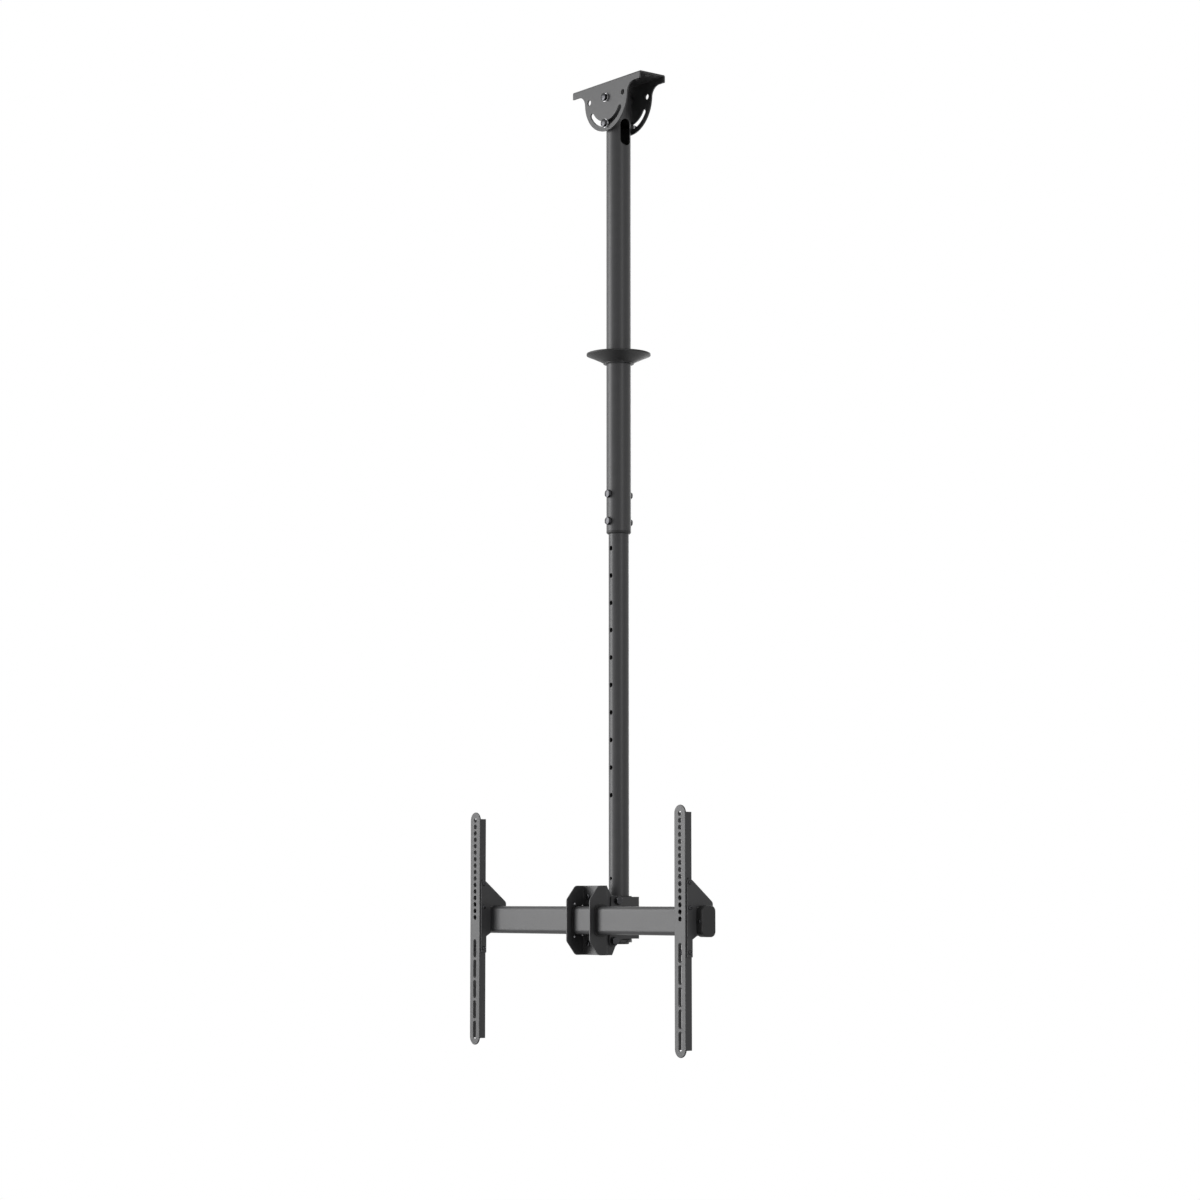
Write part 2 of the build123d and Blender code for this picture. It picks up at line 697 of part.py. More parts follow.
with BuildPart() as web_nuts:
    with BuildSketch(Plane.XZ.offset(-tilt_web_back)):
        with Locations((0, beam_height_z)):
            with GridLocations(web_bolt_spacing_x, web_bolt_spacing_z, 2, 2):
                RegularPolygon(m6_flats / 2, 6, major_radius=False)
                Circle(m6_shank / 2 + seat_fit, mode=Mode.SUBTRACT)
    extrude(amount=-m6_nut)
web_nuts.part.label = "web_nuts"
export_step(web_nuts.part, "parts/web_nuts.step")

# Tilt pivot bolt through both cheeks, with a spacer tube between the ears
cheek_washer_face = yoke_half_width + m8_washer_thickness
tilt_bolt_length = 2 * cheek_washer_face + m8_nut + thread_end
with BuildPart() as tilt_pivot_bolt:
    with Locations(facing(cheek_washer_face, pivot_y, pivot_z, to_right)):
        add(hex_bolt(m8_shank, m8_flats, m8_head, tilt_bolt_length))
tilt_pivot_bolt.part.label = "tilt_pivot_bolt"
export_step(tilt_pivot_bolt.part, "parts/tilt_pivot_bolt.step")

with BuildPart() as tilt_pivot_nut:
    with Locations(facing(-cheek_washer_face, pivot_y, pivot_z, to_left)):
        add(hex_nut(m8_shank, m8_flats, m8_nut))
tilt_pivot_nut.part.label = "tilt_pivot_nut"
export_step(tilt_pivot_nut.part, "parts/tilt_pivot_nut.step")

spacer_half = ear_inside - face_gap
with BuildPart() as tilt_spacer:
    with Locations(facing(-spacer_half, pivot_y, pivot_z, to_right)):
        add(ring(tilt_spacer_diameter / 2, m8_shank / 2 + seat_fit, 2 * spacer_half))
tilt_spacer.part.label = "tilt_spacer"
export_step(tilt_spacer.part, "parts/tilt_spacer.step")

# Tilt lock bolts, one through each cheek and the arc slot of the ear behind it
nut_end = spacer_half - m8_thin_nut
tilt_lock_length = cheek_washer_face - nut_end
with BuildPart() as tilt_lock_bolts:
    with Locations(
        facing(cheek_washer_face, lock_y, lock_z, to_right),
        facing(-cheek_washer_face, lock_y, lock_z, to_left),
    ):
        add(hex_bolt(m8_shank, m8_flats, m8_head, tilt_lock_length))
tilt_lock_bolts.part.label = "tilt_lock_bolts"
export_step(tilt_lock_bolts.part, "parts/tilt_lock_bolts.step")

with BuildPart() as tilt_lock_nuts:
    with Locations(facing(nut_end, lock_y, lock_z, to_right), facing(-nut_end, lock_y, lock_z, to_left)):
        add(hex_nut(m8_shank, m8_flats, m8_thin_nut))
tilt_lock_nuts.part.label = "tilt_lock_nuts"
export_step(tilt_lock_nuts.part, "parts/tilt_lock_nuts.step")

with BuildPart() as tilt_washers:
    with Locations(
        facing(yoke_half_width, lock_y, lock_z, to_right),
        facing(-yoke_half_width, lock_y, lock_z, to_left),
        facing(yoke_half_width, pivot_y, pivot_z, to_right),
        facing(-yoke_half_width, pivot_y, pivot_z, to_left),
    ):
        add(washer)
tilt_washers.part.label = "tilt_washers"
export_step(tilt_washers.part, "parts/tilt_washers.step")

# Beam: a rounded tube through both windows
beam_middle_y = -(beam_forward + beam_back) / 2
beam_tube_half = beam_half_length - cap_end
with BuildPart() as beam:
    with BuildSketch(Plane.YZ.offset(-beam_tube_half)):
        with Locations((beam_middle_y, beam_height_z)):
            RectangleRounded(beam_depth, beam_height, beam_corner)
            RectangleRounded(
                beam_depth - 2 * beam_wall,
                beam_height - 2 * beam_wall,
                beam_corner - beam_wall,
                mode=Mode.SUBTRACT,
            )
    extrude(amount=2 * beam_tube_half)
    with BuildSketch(Plane.XZ.offset(beam_forward)):
        with Locations((0, beam_height_z)):
            with GridLocations(2 * (beam_tube_half - cap_skirt / 2), 0, 2, 1):
                Circle(cap_screw_diameter / 2 + seat_fit)
    extrude(amount=-beam_wall, mode=Mode.SUBTRACT)
beam.part.label = "beam"
export_step(beam.part, "parts/beam.step")

# Window liners: plastic C-shaped guides round the front, top and bottom of the beam
liner_inside = flange_inside - 2 * liner_wall
liner_outside = bracket_half_width + liner_wall
sleeve_room = cap_gap + liner_wall - seat_fit
lip_room = cap_gap + 2 * liner_wall
lip_corner = window_corner + liner_wall
liner_bore_depth = beam_depth + 2 * seat_fit
liner_bore_height = beam_height + 2 * seat_fit
with BuildPart() as window_liners:
    for side in (1, -1):
        with BuildSketch(Plane.YZ.offset(side * liner_inside)) as sleeve:
            with Locations((beam_middle_y, beam_height_z)):
                RectangleRounded(beam_depth + 2 * sleeve_room, beam_height + 2 * sleeve_room, window_corner)
                RectangleRounded(liner_bore_depth, liner_bore_height, beam_corner, mode=Mode.SUBTRACT)
            with Locations((web_face - seat_fit + beam_depth / 2, beam_height_z)):
                Rectangle(beam_depth, 2 * beam_height, mode=Mode.SUBTRACT)
        extrude(amount=side * (liner_outside - liner_inside))
        with BuildSketch(Plane.YZ.offset(side * bracket_half_width)) as lip:
            with Locations((beam_middle_y, beam_height_z)):
                RectangleRounded(beam_depth + 2 * lip_room, beam_height + 2 * lip_room, lip_corner)
                RectangleRounded(liner_bore_depth, liner_bore_height, beam_corner, mode=Mode.SUBTRACT)
            with Locations((web_face - seat_fit + beam_depth / 2, beam_height_z)):
                Rectangle(beam_depth, 2 * beam_height, mode=Mode.SUBTRACT)
        extrude(amount=side * liner_wall)
window_liners.part.label = "window_liners"
export_step(window_liners.part, "parts/window_liners.step")

# End caps: a moulded skirt over the beam's end, with one screw at the front
cap_depth = beam_depth + 2 * (cap_gap + cap_wall)
cap_height = beam_height + 2 * (cap_gap + cap_wall)
for name, side in (("end_cap_left", -1), ("end_cap_right", 1)):
    with BuildPart() as end_cap:
        with BuildSketch(Plane.YZ.offset(side * (beam_tube_half - cap_skirt))):
            with Locations((beam_middle_y, beam_height_z)):
                RectangleRounded(cap_depth, cap_height, beam_corner + cap_gap + cap_wall)
        extrude(amount=side * (cap_skirt + cap_end))
        cap_face = end_cap.faces().sort_by(Axis.X)[0 if side < 0 else -1]
        fillet(cap_face.outer_wire().edges(), cap_wall)
        with BuildSketch(Plane.YZ.offset(side * (beam_tube_half - cap_skirt))):
            with Locations((beam_middle_y, beam_height_z)):
                RectangleRounded(beam_depth + 2 * cap_gap, beam_height + 2 * cap_gap, beam_corner + cap_gap)
        extrude(amount=side * cap_skirt, mode=Mode.SUBTRACT)
        with BuildSketch(Plane.XZ.offset(beam_forward + cap_gap + cap_wall)):
            with Locations((side * (beam_tube_half - cap_skirt / 2), beam_height_z)):
                Circle(cap_screw_diameter / 2 + seat_fit)
        extrude(amount=-2 * cap_wall, mode=Mode.SUBTRACT)
    end_cap.part.label = name
    export_step(end_cap.part, "parts/" + name + ".step")

cap_screw_x = beam_tube_half - cap_skirt / 2
cap_screw_face = beam_forward + cap_gap + cap_wall
with BuildPart() as cap_screws:
    with BuildSketch(Plane.XZ.offset(cap_screw_face)):
        with Locations((cap_screw_x, beam_height_z), (-cap_screw_x, beam_height_z)):
            Circle(cap_screw_head / 2)
    extrude(amount=cap_wall)
    fillet(cap_screws.faces().group_by(Axis.Y)[0].edges(), cap_wall / 2)
    with BuildSketch(Plane.XZ.offset(cap_screw_face)):
        with Locations((cap_screw_x, beam_height_z), (-cap_screw_x, beam_height_z)):
            Circle(cap_screw_diameter / 2)
    extrude(amount=-(cap_gap + 2 * cap_wall + beam_wall))
cap_screws.part.label = "cap_screws"
export_step(cap_screws.part, "parts/cap_screws.step")

# Rails and the hook brackets bolted to their flanges
rail_middle = beam_height_z - rail_below_beam
rail_back = rail_forward - rail_depth
flange_length = rail_length - 2 * rail_flange_inset
hook_bolt_forward = rail_forward - rail_sheet - hook_bolt_inset
cheek_front = rail_forward - hook_front_gap
hook_outside = rail_width / 2 + seat_fit + hook_sheet
hook_top = beam_height / 2 + body_gap + hook_over_beam
hook_rear = beam_back - body_gap - hook_back
first_bolt = hook_bolt_heights[0]
last_bolt = hook_bolt_heights[-1]


def bolt_spots(forward):
    """Points on the side of a rail, in the YZ plane, where its hook bracket is bolted."""
    return [(-forward, beam_height_z + height) for height in hook_bolt_heights]


for side_name, side in (("left", -1), ("right", 1)):
    rail_x = side * rail_spacing / 2

    with BuildPart() as rail:
        with BuildSketch(Plane.XZ.offset(rail_forward)):
            with Locations((rail_x, rail_middle)):
                SlotOverall(rail_length, rail_width, rotation=90)
        extrude(amount=-rail_sheet)
        fillet(rail.faces().sort_by(Axis.Y)[0].outer_wire().edges(), rail_sheet / 2)
        with BuildSketch(Plane.XZ.offset(rail_forward - rail_sheet / 2)):
            with Locations((rail_x, rail_middle)):
                Rectangle(rail_width, flange_length)
                Rectangle(rail_width - 2 * rail_sheet, flange_length, mode=Mode.SUBTRACT)
        extrude(amount=-(rail_depth - rail_sheet / 2))
        with BuildSketch(Plane.XZ.offset(rail_forward)):
            for count in range(rail_hole_count):
                with Locations((rail_x, rail_middle + rail_top_hole - count * rail_hole_pitch)):
                    Circle(rail_hole_diameter / 2)
            last_slot = rail_middle - rail_last_slot_end + (rail_slot_length - rail_slot_width) / 2
            for count in range(rail_slot_count):
                with Locations((rail_x, last_slot + count * rail_slot_pitch)):
                    SlotOverall(rail_slot_length, rail_slot_width, rotation=90)
        extrude(amount=-rail_sheet, mode=Mode.SUBTRACT)
        with BuildSketch(Plane.YZ.offset(rail_x)):
            with Locations(*bolt_spots(hook_bolt_forward)):
                Circle(m6_shank / 2 + seat_fit)
        extrude(amount=rail_width, both=True, mode=Mode.SUBTRACT)
    rail.part.label = "rail_" + side_name
    export_step(rail.part, "parts/rail_" + side_name + ".step")

    with BuildPart() as hook_bracket:
        with BuildSketch(Plane.YZ.offset(rail_x)) as cheek:
            with BuildLine():
                Polyline(
                    (-cheek_front, beam_height_z + last_bolt - hook_bolt_margin),
                    (-cheek_front, beam_height_z + first_bolt + hook_bolt_margin / 2),
                    (-cheek_front + hook_bolt_margin / 2, beam_height_z + first_bolt + hook_bolt_margin),
                    (-rail_back, beam_height_z + first_bolt + hook_bolt_margin / 2),
                    (-hook_rear, beam_height_z + hook_top),
                    (-hook_rear, beam_height_z + beam_height / 2 - hook_drop),
                    (-beam_back + body_gap, beam_height_z + beam_height / 2 - hook_drop),
                    (-beam_back + body_gap, beam_height_z + beam_height / 2 + body_gap),
                    (-beam_forward - body_gap, beam_height_z + beam_height / 2 + body_gap),
                    (-beam_forward - body_gap, beam_height_z - beam_height / 2),
                    (-rail_back, beam_height_z - beam_height / 2 - hook_below_beam),
                    (-rail_back, beam_height_z + last_bolt - hook_bolt_margin),
                    close=True,
                )
            make_face()
            slope_corner = cheek.vertices().sort_by_distance((-rail_back, beam_height_z + first_bolt))[0]
            fillet(slope_corner, hook_bolt_margin)
            rear_corner = cheek.vertices().sort_by_distance((-hook_rear, beam_height_z + hook_top))[0]
            fillet(rear_corner, hook_over_beam)
        extrude(amount=hook_outside, both=True)
        with BuildSketch(Plane.XY.offset(beam_height_z - bracket_height)):
            with Locations((rail_x, -hook_rear - hook_sheet - rail_length / 2)):
                Rectangle(2 * (hook_outside - hook_sheet), rail_length)
        extrude(amount=2 * bracket_height, mode=Mode.SUBTRACT)
        with BuildSketch(Plane.YZ.offset(rail_x)):
            with Locations(*bolt_spots(hook_bolt_forward)):
                Circle(m6_shank / 2 + seat_fit)
        extrude(amount=rail_width, both=True, mode=Mode.SUBTRACT)
    hook_bracket.part.label = "hook_bracket_" + side_name
    export_step(hook_bracket.part, "parts/hook_bracket_" + side_name + ".step")

    hook_bolt_length = hook_sheet + seat_fit + rail_sheet + m6_nut
    nut_seat = rail_width / 2 - rail_sheet
    with BuildPart() as hook_bolts:
        for face_x, direction in ((hook_outside, to_right), (-hook_outside, to_left)):
            for spot in bolt_spots(hook_bolt_forward):
                with Locations(facing(rail_x + face_x, spot[0], spot[1], direction)):
                    add(hex_bolt(m6_shank, m6_flats, m6_head, hook_bolt_length))
    hook_bolts.part.label = "hook_bolts_" + side_name
    export_step(hook_bolts.part, "parts/hook_bolts_" + side_name + ".step")

    with BuildPart() as hook_nuts:
        for face_x, direction in ((nut_seat, to_left), (-nut_seat, to_right)):
            for spot in bolt_spots(hook_bolt_forward):
                with Locations(facing(rail_x + face_x, spot[0], spot[1], direction)):
                    add(hex_nut(m6_shank, m6_flats, m6_nut))
    hook_nuts.part.label = "hook_nuts_" + side_name
    export_step(hook_nuts.part, "parts/hook_nuts_" + side_name + ".step")
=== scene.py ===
import json
import math

import bmesh
import bpy
from mathutils import Matrix, Vector


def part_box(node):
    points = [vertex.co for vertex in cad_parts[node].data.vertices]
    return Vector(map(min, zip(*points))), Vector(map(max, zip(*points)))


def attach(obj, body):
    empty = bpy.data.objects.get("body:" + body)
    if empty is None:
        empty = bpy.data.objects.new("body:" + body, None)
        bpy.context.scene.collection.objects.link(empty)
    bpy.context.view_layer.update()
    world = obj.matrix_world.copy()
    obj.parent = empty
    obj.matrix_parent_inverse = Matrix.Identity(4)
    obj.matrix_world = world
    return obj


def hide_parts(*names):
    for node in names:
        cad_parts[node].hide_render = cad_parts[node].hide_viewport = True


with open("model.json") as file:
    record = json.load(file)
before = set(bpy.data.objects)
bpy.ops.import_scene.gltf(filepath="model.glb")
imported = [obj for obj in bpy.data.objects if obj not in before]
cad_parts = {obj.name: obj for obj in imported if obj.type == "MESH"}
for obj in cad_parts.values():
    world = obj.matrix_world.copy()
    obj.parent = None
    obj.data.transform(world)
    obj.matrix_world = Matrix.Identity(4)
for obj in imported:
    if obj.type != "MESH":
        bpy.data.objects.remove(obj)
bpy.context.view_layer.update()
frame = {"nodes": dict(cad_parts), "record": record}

# Black telescopic ceiling mount, seen from its lower front right.
# Metres, in the mount's own frame: the origin is at the ceiling and the rails face -Y.

nodes = frame["nodes"]

# Camera: a long lens below the middle of the mount, looking slightly up
VIEW_AZIMUTH = math.radians(52.0)
VIEW_PITCH = math.radians(5.7)
CAMERA_DISTANCE = 5.477
LENS_MM = 90.0
SENSOR_MM = 36.0
CLIP_END = 100.0
FRAME_MIDDLE_HEIGHT = -0.9628
FRAME_MIDDLE_LEFT_OF_POLE = 0.0343

# Studio: the floor glows white beyond the mount's shadow, by distance from the pole
WHITE = (1.0, 1.0, 1.0, 1.0)
WORLD_LIGHT = 0.15
FLOOR_HEIGHT = -2.45
FLOOR_SIZE = 40.0
FLOOR_COLOUR = (0.5, 0.5, 0.5, 1.0)
SHADOW_ZONE = 1.8
WHITE_FROM = 4.2
GLOW_IN_SHADOW_ZONE = 0.62
# Softboxes: name, place, aim, width, height and watts
SOFTBOXES = (
    ("front_softbox", (-2.6, -3.0, -0.6), (0.0, 0.0, -0.8), 2.2, 3.4, 168.0),
    ("right_softbox", (4.2, -0.5, -0.3), (0.0, 0.0, -0.5), 0.5, 3.4, 40.0),
    ("back_softbox", (-2.5, 3.5, -0.4), (0.0, 0.0, -0.9), 2.5, 2.5, 40.0),
)

# Sockets of a Mix node, which go by number: the factor, and each data type's two values
MIX_FACTOR = 0
FLOAT_LOW, FLOAT_HIGH, FLOAT_RESULT = 2, 3, 0
COLOUR_LOW, COLOUR_HIGH, COLOUR_RESULT = 6, 7, 2

# Surfaces
GRAIN_LOW = 0.3
GRAIN_HIGH = 0.7
GRAIN_HEIGHT = 0.0002
EDGE_SAMPLES = 6
FASTENER_GRAIN = 2500.0
FASTENER_WAVE = 350.0
FASTENER_EDGE = 0.0004


def cleared_tree(owner):
    """Node tree of a material or world with nothing in it."""
    owner.use_nodes = True
    owner.node_tree.nodes.clear()
    return owner.node_tree


def fine_grain_group():
    """Node group: small bumps over larger soft waves, as a sprayed or moulded skin has."""
    group = bpy.data.node_groups.new("fine_grain", "ShaderNodeTree")
    face = group.interface
    for name, default in (("Grain Scale", 900.0), ("Wave Scale", 60.0), ("Wave Share", 0.3)):
        socket = face.new_socket(name, in_out="INPUT", socket_type="NodeSocketFloat")
        socket.default_value = default
    for name in ("Height", "Mottle"):
        face.new_socket(name, in_out="OUTPUT", socket_type="NodeSocketFloat")
    put = group.nodes.new
    link = group.links.new
    inside = put("NodeGroupInput")
    outside = put("NodeGroupOutput")
    place = put("ShaderNodeTexCoord")
    grain = put("ShaderNodeTexNoise")
    grain.inputs["Detail"].default_value = 3.0
    grain.inputs["Roughness"].default_value = 0.6
    wave = put("ShaderNodeTexNoise")
    wave.inputs["Detail"].default_value = 2.0
    blend = put("ShaderNodeMix")
    blend.data_type = "FLOAT"
    link(place.outputs["Object"], grain.inputs["Vector"])
    link(place.outputs["Object"], wave.inputs["Vector"])
    link(inside.outputs["Grain Scale"], grain.inputs["Scale"])
    link(inside.outputs["Wave Scale"], wave.inputs["Scale"])
    link(inside.outputs["Wave Share"], blend.inputs[MIX_FACTOR])
    link(grain.outputs["Fac"], blend.inputs[FLOAT_LOW])
    link(wave.outputs["Fac"], blend.inputs[FLOAT_HIGH])
    link(blend.outputs[FLOAT_RESULT], outside.inputs["Height"])
    link(wave.outputs["Fac"], outside.inputs["Mottle"])
    return group


FINE_GRAIN = fine_grain_group()


def clouded_skin(name, dark, light, smooth, rough, grain_scale, edge_radius):
    """Material with a mottled tone, an uneven gloss and a node that softens its edges."""
    material = bpy.data.materials.new(name)
    tree = cleared_tree(material)
    put = tree.nodes.new
    link = tree.links.new
    output = put("ShaderNodeOutputMaterial")
    shader = put("ShaderNodeBsdfPrincipled")
    link(shader.outputs["BSDF"], output.inputs["Surface"])
    grain = put("ShaderNodeGroup")
    grain.node_tree = FINE_GRAIN
    grain.inputs["Grain Scale"].default_value = grain_scale
    tone = put("ShaderNodeMix")
    tone.data_type = "RGBA"
    tone.inputs[COLOUR_LOW].default_value = (*dark, 1.0)
    tone.inputs[COLOUR_HIGH].default_value = (*light, 1.0)
    link(grain.outputs["Mottle"], tone.inputs[MIX_FACTOR])
    link(tone.outputs[COLOUR_RESULT], shader.inputs["Base Color"])
    gloss = put("ShaderNodeMapRange")
    gloss.inputs["From Min"].default_value = GRAIN_LOW
    gloss.inputs["From Max"].default_value = GRAIN_HIGH
    gloss.inputs["To Min"].default_value = smooth
    gloss.inputs["To Max"].default_value = rough
    link(grain.outputs["Height"], gloss.inputs["Value"])
    link(gloss.outputs["Result"], shader.inputs["Roughness"])
    soft_edge = put("ShaderNodeBevel")
    soft_edge.samples = EDGE_SAMPLES
    soft_edge.inputs["Radius"].default_value = edge_radius
    return material, tree, shader, grain, soft_edge


def grained_skin(name, dark, light, smooth, rough, grain_scale, edge_radius, bump, specular):
    """A painted or moulded skin: the clouded skin with a fine bump on it."""
    material, tree, shader, grain, soft_edge = clouded_skin(
        name, dark, light, smooth, rough, grain_scale, edge_radius
    )
    relief = tree.nodes.new("ShaderNodeBump")
    relief.inputs["Strength"].default_value = bump
    relief.inputs["Distance"].default_value = GRAIN_HEIGHT
    tree.links.new(grain.outputs["Height"], relief.inputs["Height"])
    tree.links.new(soft_edge.outputs["Normal"], relief.inputs["Normal"])
    tree.links.new(relief.outputs["Normal"], shader.inputs["Normal"])
    shader.inputs["Specular IOR Level"].default_value = specular
    return material


def black_powder_coat():
    """Satin black powder coat on folded steel and tube."""
    return grained_skin(
        "black_powder_coat",
        dark=(0.047, 0.047, 0.049), light=(0.062, 0.062, 0.064),
        smooth=0.36, rough=0.46,
        grain_scale=1100.0, edge_radius=0.0007, bump=0.25, specular=0.34,
    )


def moulded_black_plastic():
    """Black plastic of the cover, caps, liners and bushes."""
    return grained_skin(
        "moulded_black_plastic",
        dark=(0.018, 0.018, 0.0185), light=(0.028, 0.028, 0.0285),
        smooth=0.42, rough=0.54,
        grain_scale=1600.0, edge_radius=0.0009, bump=0.18, specular=0.3,
    )


def black_rubber():
    """Matt rubber of the grip ring."""
    return grained_skin(
        "black_rubber",
        dark=(0.018, 0.018, 0.018), light=(0.026, 0.026, 0.026),
        smooth=0.7, rough=0.85,
        grain_scale=900.0, edge_radius=0.0005, bump=0.3, specular=0.3,
    )


def plated_metal(name, dark, light, smooth, rough):
    """Plated screws, nuts and washers: the clouded skin as a metal."""
    material, tree, shader, grain, soft_edge = clouded_skin(
        name, dark, light, smooth, rough, FASTENER_GRAIN, FASTENER_EDGE
    )
    grain.inputs["Wave Scale"].default_value = FASTENER_WAVE
    tree.links.new(soft_edge.outputs["Normal"], shader.inputs["Normal"])
    shader.inputs["Metallic"].default_value = 1.0
    return material


def blackened_zinc():
    """Black zinc of the bolts and nuts."""
    return plated_metal(
        "blackened_zinc",
        dark=(0.030, 0.030, 0.032), light=(0.062, 0.062, 0.066), smooth=0.18, rough=0.3,
    )


def bright_zinc():
    """Clear zinc of the washers at the ceiling and of the liner screws."""
    return plated_metal(
        "bright_zinc",
        dark=(0.42, 0.42, 0.44), light=(0.6, 0.6, 0.61), smooth=0.2, rough=0.34,
    )


def dress_nodes():
    """Gives each solid the finish that its slot in the record names."""
    finishes = {
        "powder_coated_steel": black_powder_coat(),
        "black_plastic": moulded_black_plastic(),
        "grip_rubber": black_rubber(),
        "zinc_fasteners": blackened_zinc(),
    }
    for part in frame["record"]["subparts"]:
        solid = nodes[part["node"]]
        for place in solid.material_slots:
            place.material = finishes[part["material_slot"]]
    return finishes


# Ceiling bracket: its sheet, and the hollow curve between each wing and its lobe.
# The curve's metal reaches MERGE_DEPTH into the sheet, so that the two join cleanly.
SHEET = 0.003
WING_DROP = 0.014
WING_CURVE = 0.020
LOBE_RADIUS = 0.063
PIVOT_DROP = 0.030
CURVE_STEPS = 14
MERGE_DEPTH = 0.004

# Folded sheets: their edges are broken by a little, as the coat does
FOLDED_SHEETS = (
    "beam_bracket", "tilt_bracket", "rail_left", "rail_right",
    "hook_bracket_left", "hook_bracket_right",
)
SHEET_EDGE = 0.0004
EDGE_SEGMENTS = 2
SHARP_FROM = math.radians(40.0)
FLAT_WITHIN = math.radians(0.5)
SEW_DISTANCE = 1e-6


def wing_curve_outline():
    """Half outline of the metal between a wing's lower edge and its lobe, in X and Z."""
    centre_z = -WING_DROP - WING_CURVE
    reach = LOBE_RADIUS + WING_CURVE
    centre_x = math.sqrt(reach ** 2 - (centre_z + PIVOT_DROP) ** 2)
    first = math.pi / 2
    last = math.atan2(-centre_z - PIVOT_DROP, -centre_x)
    outline = []
    for step in range(CURVE_STEPS + 1):
        angle = first + (last - first) * step / CURVE_STEPS
        outline.append((
            centre_x + WING_CURVE * math.cos(angle),
            centre_z + WING_CURVE * math.sin(angle),
        ))
    wing_x = outline[0][0]
    lobe_x, lobe_z = outline[-1]
    outline.append((lobe_x - MERGE_DEPTH, lobe_z + MERGE_DEPTH / 4))
    outline.append((lobe_x - MERGE_DEPTH, -WING_DROP + MERGE_DEPTH))
    outline.append((wing_x, -WING_DROP + MERGE_DEPTH))
    return outline


def wing_curve_metal(low_y, high_y):
    """The four curved corners of the two ears, each as thick as the sheet."""
    mesh = bmesh.new()
    for front_y in (low_y, high_y - SHEET):
        for side in (-1, 1):
            near = [mesh.verts.new((side * x, front_y, z)) for x, z in wing_curve_outline()]
            face = mesh.faces.new(near)
            bulk = bmesh.ops.extrude_face_region(mesh, geom=[face])
            far = [item for item in bulk["geom"] if isinstance(item, bmesh.types.BMVert)]
            bmesh.ops.translate(mesh, verts=far, vec=(0.0, SHEET, 0.0))
    bmesh.ops.recalc_face_normals(mesh, faces=mesh.faces)
    data = bpy.data.meshes.new("wing_curve_metal")
    mesh.to_mesh(data)
    mesh.free()
    return data


def sewn_mesh(node_name):
    """A node's mesh, copied, with its faces sewn together."""
    mesh = bmesh.new()
    mesh.from_mesh(nodes[node_name].data)
    bmesh.ops.remove_doubles(mesh, verts=mesh.verts, dist=SEW_DISTANCE)
    return mesh


def sewn_copy(node_name):
    """The sewn mesh as mesh data."""
    mesh = sewn_mesh(node_name)
    data = bpy.data.meshes.new(node_name + "_sewn")
    mesh.to_mesh(data)
    mesh.free()
    return data


def finished_mesh(shape):
    """Mesh of an object with its modifiers applied."""
    depsgraph = bpy.context.evaluated_depsgraph_get()
    return bpy.data.meshes.new_from_object(shape.evaluated_get(depsgraph))


def in_fixed_order(data):
    """Copy of a mesh, ordered by place: a boolean's result comes in another order each run."""
    spots = [tuple(vertex.co) for vertex in data.vertices]
    order = sorted(range(len(spots)), key=spots.__getitem__)
    rank = {index: turn for turn, index in enumerate(order)}
    faces = []
    for polygon in data.polygons:
        loops = list(polygon.loop_indices)
        ring = [rank[data.loops[loop].vertex_index] for loop in loops]
        first = ring.index(min(ring))
        turned_ring = ring[first:] + ring[:first]
        faces.append((turned_ring, loops[first:] + loops[:first], polygon.use_smooth))
    faces.sort()
    copy = bpy.data.meshes.new(data.name)
    copy.from_pydata([spots[index] for index in order], [], [ring for ring, _, _ in faces])
    copy.polygons.foreach_set("use_smooth", [smooth for _, _, smooth in faces])
    copy.normals_split_custom_set([
        tuple(data.corner_normals[loop].vector) for _, loops, _ in faces for loop in loops
    ])
    return copy


def folded_ceiling_bracket(finish):
    """The ceiling bracket with the hollow curves that run from its wings into its lobes."""
    low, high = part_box("ceiling_bracket")
    sheet = bpy.data.objects.new("sheet_blank", sewn_copy("ceiling_bracket"))
    corners = bpy.data.objects.new("wing_corners", wing_curve_metal(low[1], high[1]))
    for shape in (sheet, corners):
        bpy.context.collection.objects.link(shape)
    merge = sheet.modifiers.new("merge", "BOOLEAN")
    merge.operation = "UNION"
    merge.solver = "EXACT"
    merge.object = corners
    bpy.context.view_layer.update()
    whole = in_fixed_order(finished_mesh(sheet))
    bpy.data.objects.remove(sheet)
    bpy.data.objects.remove(corners)
    mesh = bmesh.new()
    mesh.from_mesh(whole)
    bmesh.ops.remove_doubles(mesh, verts=mesh.verts, dist=SEW_DISTANCE)
    bmesh.ops.dissolve_limit(mesh, angle_limit=FLAT_WITHIN, verts=mesh.verts, edges=mesh.edges)
    mesh.to_mesh(whole)
    mesh.free()
    whole.materials.clear()
    whole.materials.append(finish)
    piece = bpy.data.objects.new("folded_ceiling_bracket", whole)
    bpy.context.collection.objects.link(piece)
    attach(piece, "ceiling")
    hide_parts("ceiling_bracket")
    return piece


def break_edges(piece):
    """Rounds the sharp edges of a folded sheet by a little."""
    sew = piece.modifiers.new("sew", "WELD")
    sew.merge_threshold = SEW_DISTANCE
    flatten = piece.modifiers.new("flatten", "DECIMATE")
    flatten.decimate_type = "DISSOLVE"
    flatten.angle_limit = FLAT_WITHIN
    edge = piece.modifiers.new("edge", "BEVEL")
    edge.width = SHEET_EDGE
    edge.segments = EDGE_SEGMENTS
    edge.limit_method = "ANGLE"
    edge.angle_limit = SHARP_FROM
    edge.harden_normals = True
    edge.use_clamp_overlap = False


# Ways that a fastener's head can point
FRONT = Vector((0.0, -1.0, 0.0))
BACK = Vector((0.0, 1.0, 0.0))
RIGHT = Vector((1.0, 0.0, 0.0))
LEFT = Vector((-1.0, 0.0, 0.0))
UP = Vector((0.0, 0.0, 1.0))

